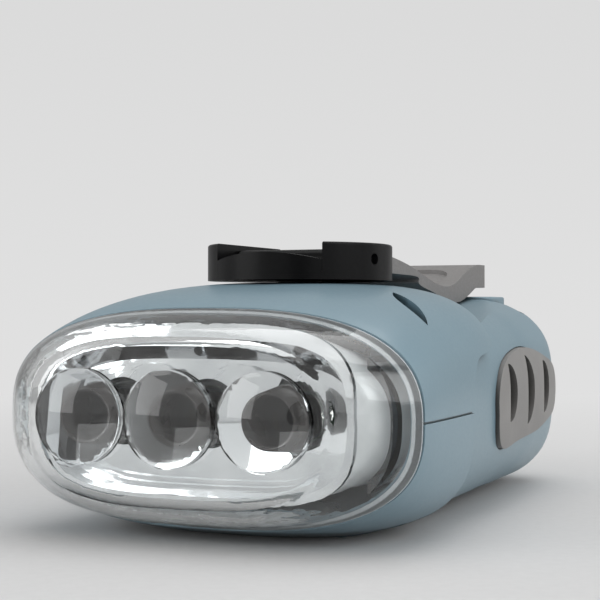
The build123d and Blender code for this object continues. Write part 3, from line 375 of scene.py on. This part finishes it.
def smooth_copy(node):
    """Merged copy of a CAD node, shaded smooth over its curved faces, that stands for the node."""
    mesh = frame["nodes"][node].data.copy()
    mesh.name = node + "_smooth"
    work = bmesh.new()
    work.from_mesh(mesh)
    bmesh.ops.remove_doubles(work, verts=work.verts, dist=MERGE_DISTANCE)
    work.to_mesh(mesh)
    work.free()
    if "custom_normal" in mesh.attributes:
        mesh.attributes.remove(mesh.attributes["custom_normal"])
    mesh.shade_smooth()
    mesh.set_sharp_from_angle(angle=radians(SHARP_ANGLE_DEG))
    piece = new_piece(mesh, node)
    weighted = piece.modifiers.new("weighted_normals", "WEIGHTED_NORMAL")
    weighted.keep_sharp = True
    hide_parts(node)
    return piece


def round_mesh(node, part, sizes_mm, segments, closed):
    """Disc, cone or tube on a diode's axis, from its start, depth, front radius and back radius."""
    start, depth, front, back = [size * MM for size in sizes_mm]
    low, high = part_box(node)
    middle = Vector(((low[0] + high[0]) / 2, low[1] + start + depth / 2, (low[2] + high[2]) / 2))
    work = bmesh.new()
    bmesh.ops.create_cone(work, cap_ends=closed, segments=segments, radius1=front, radius2=back, depth=depth,
                          matrix=Matrix.Translation(middle) @ Matrix.Rotation(-pi / 2, 4, "X"))
    return new_mesh(node + "_" + part, work)


def diode_core(node, part):
    """One round piece of a diode's inside."""
    mesh = round_mesh(node, part, CORE_SIZES_MM[part], CORE_SEGMENTS, True)
    mesh.materials.append(core_materials[part])
    new_piece(mesh, node)


def lens_darkening_sleeve(node):
    """Dark sleeve round a diode, which reaches forward to just behind the lens: a painted dark reflection
    that gives each lens a dark centre.
    """
    mesh = round_mesh(node, "lens_darkener", LENS_DARKENER_SIZES_MM, LENS_DARKENER_SEGMENTS, False)
    mesh.shade_smooth()
    mesh.materials.append(core_materials["base"])
    piece = new_piece(mesh, node)
    wall = piece.modifiers.new("wall", "SOLIDIFY")
    wall.thickness = LENS_DARKENER_WALL
    wall.offset = INWARDS


smoothed = {node: smooth_copy(node) for node in SMOOTH_NODES}
# Light goes through the clear mouldings, so they throw no shadow on what they cover
for node in ["lens_cover"] + DIODES:
    smoothed[node].visible_shadow = False
for node in DIODES:
    lens_darkening_sleeve(node)
    for part in CORE_SIZES_MM:
        diode_core(node, part)


def camera():
    """Camera at the photograph's place and angle, with the photograph's field of view."""
    data = bpy.data.cameras.new("camera")
    data.sensor_width = SENSOR_MM
    data.lens = FOCAL_PX * SENSOR_MM / IMAGE_WIDTH_PX
    data.clip_start, data.clip_end = CLIP_NEAR, CLIP_FAR
    made = bpy.data.objects.new("camera", data)
    made.location = CAMERA_PLACE
    made.rotation_euler = Euler((radians(90 + CAMERA_PITCH_DEG), 0, radians(CAMERA_YAW_DEG)))
    bpy.context.scene.collection.objects.link(made)
    bpy.context.scene.camera = made


def lamp(name, place, target, size, power):
    """Square soft light that looks at the target."""
    data = bpy.data.lights.new(name, "AREA")
    data.size = size
    data.energy = power
    made = bpy.data.objects.new(name, data)
    made.location = Vector(place)
    made.rotation_euler = (Vector(target) - Vector(place)).to_track_quat("-Z", "Y").to_euler()
    bpy.context.scene.collection.objects.link(made)


def world():
    """Pale sky that fills in the softboxes' shadows, dimmer straight above and straight below."""
    made = bpy.data.worlds.new("studio")
    made.use_nodes = True
    tree = made.node_tree
    tree.nodes.clear()
    axes = add(tree, "SeparateXYZ", {"Vector": add(tree, "TexCoord").outputs["Generated"]})
    height = add(tree, "MapRange", {"Value": axes.outputs["Z"], "From Min": -1.0, "From Max": 1.0})
    sky = add(tree, "ValToRGB", {"Fac": height.outputs["Result"]}, stops=SKY_STOPS)
    back = add(tree, "Background", {"Color": sky.outputs["Color"], "Strength": SKY_STRENGTH})
    add(tree, "OutputWorld", {"Surface": back.outputs["Background"]})
    bpy.context.scene.world = made


def pale_card():
    """Matt pale card: lit and shaded near the object, an even pale grey further back for the camera."""
    made, tree = new_material("matt_pale_card")
    place = add(tree, "TexCoord").outputs["Object"]
    fibre = add(tree, "TexNoise", {"Vector": place, "Scale": per_mm(1.5), "Detail": 3.0})
    tone = two_tones(tree, fibre.outputs["Fac"], FLOOR_DARK, FLOOR_LIGHT)
    lit = add(tree, "BsdfPrincipled", {"Base Color": tone, "Roughness": 0.9})
    axes = add(tree, "SeparateXYZ", {"Vector": place})
    height = add(tree, "MapRange", {"Value": axes.outputs["Z"], "From Max": BACKDROP_TOP_HEIGHT})
    even = add(tree, "ValToRGB", {"Fac": height.outputs["Result"]},
               stops=[(0.0, BACKDROP_LOW), (1.0, BACKDROP_TOP)])
    glow = add(tree, "Emission", {"Color": even.outputs["Color"], "Strength": 1.0})
    away = add(tree, "MapRange", {"Value": axes.outputs["Y"], "From Min": EVEN_FROM, "From Max": EVEN_TO},
               interpolation_type="SMOOTHSTEP")
    seen = add(tree, "LightPath").outputs["Is Camera Ray"]
    share = add(tree, "Math", {0: away.outputs["Result"], 1: seen}, operation="MULTIPLY")
    mixed = add(tree, "MixShader", {0: share.outputs[0], 1: lit.outputs["BSDF"], 2: glow.outputs["Emission"]})
    add(tree, "OutputMaterial", {"Surface": mixed.outputs[0]})
    return made


def dark_card():
    """Matt black card: dull and even, so that it gives a soft dark reflection."""
    made, tree = new_material("matt_black_card")
    place = add(tree, "TexCoord").outputs["Object"]
    fibre = add(tree, "TexNoise", {"Vector": place, "Scale": per_mm(2.0), "Detail": 2.0})
    tone = two_tones(tree, fibre.outputs["Fac"], "101010", "161616")
    finish_material(tree, {"Base Color": tone, "Roughness": 0.8})
    return made


def stage_piece(mesh, material, place):
    """Part of the stage, turned square to the camera."""
    mesh.materials.append(material)
    made = bpy.data.objects.new(mesh.name, mesh)
    made.location = place
    made.rotation_euler = Euler((0, 0, radians(CAMERA_YAW_DEG)))
    bpy.context.scene.collection.objects.link(made)
    return made


def seamless_floor():
    """Sheet that runs level under the object, bends up behind it and goes on as the backdrop."""
    work = bmesh.new()
    near = work.verts.new((-FLOOR_HALF_WIDTH, FLOOR_NEAR, 0))
    far = bmesh.ops.extrude_vert_indiv(work, verts=[near])["verts"]
    bmesh.ops.translate(work, verts=far, vec=(0, FLOOR_FAR - FLOOR_NEAR, 0))
    bend = bmesh.ops.spin(work, geom=far, cent=(-FLOOR_HALF_WIDTH, FLOOR_FAR, BACKDROP_BEND), axis=(1, 0, 0),
                          angle=pi / 2, steps=BEND_STEPS)
    upright = [item for item in bend["geom_last"] if isinstance(item, bmesh.types.BMVert)]
    top = bmesh.ops.extrude_vert_indiv(work, verts=upright)["verts"]
    bmesh.ops.translate(work, verts=top, vec=(0, 0, BACKDROP_HEIGHT - BACKDROP_BEND))
    side = bmesh.ops.extrude_edge_only(work, edges=work.edges[:])["geom"]
    moved = [item for item in side if isinstance(item, bmesh.types.BMVert)]
    bmesh.ops.translate(work, verts=moved, vec=(2 * FLOOR_HALF_WIDTH, 0, 0))
    bmesh.ops.recalc_face_normals(work, faces=work.faces)
    mesh = new_mesh("seamless_floor", work)
    mesh.shade_smooth()
    stage_piece(mesh, pale_card(), (0, 0, -FLOOR_DROP))


def camera_card():
    """Dark card that shows only in reflections and through clear parts, and gives the lamp dark places."""
    work = bmesh.new()
    bmesh.ops.create_circle(work, cap_ends=True, segments=CARD_SEGMENTS, radius=CARD_RADIUS,
                            matrix=Matrix.Rotation(pi / 2, 4, "X"))
    card = stage_piece(new_mesh("camera_card", work), dark_card(), CARD_PLACE)
    card.visible_camera = card.visible_shadow = card.visible_diffuse = False


camera()
world()
seamless_floor()
camera_card()
for name, (place, target, size, power) in LAMPS.items():
    lamp(name, place, target, size, power)
bpy.context.scene.view_settings.view_transform = "Standard"
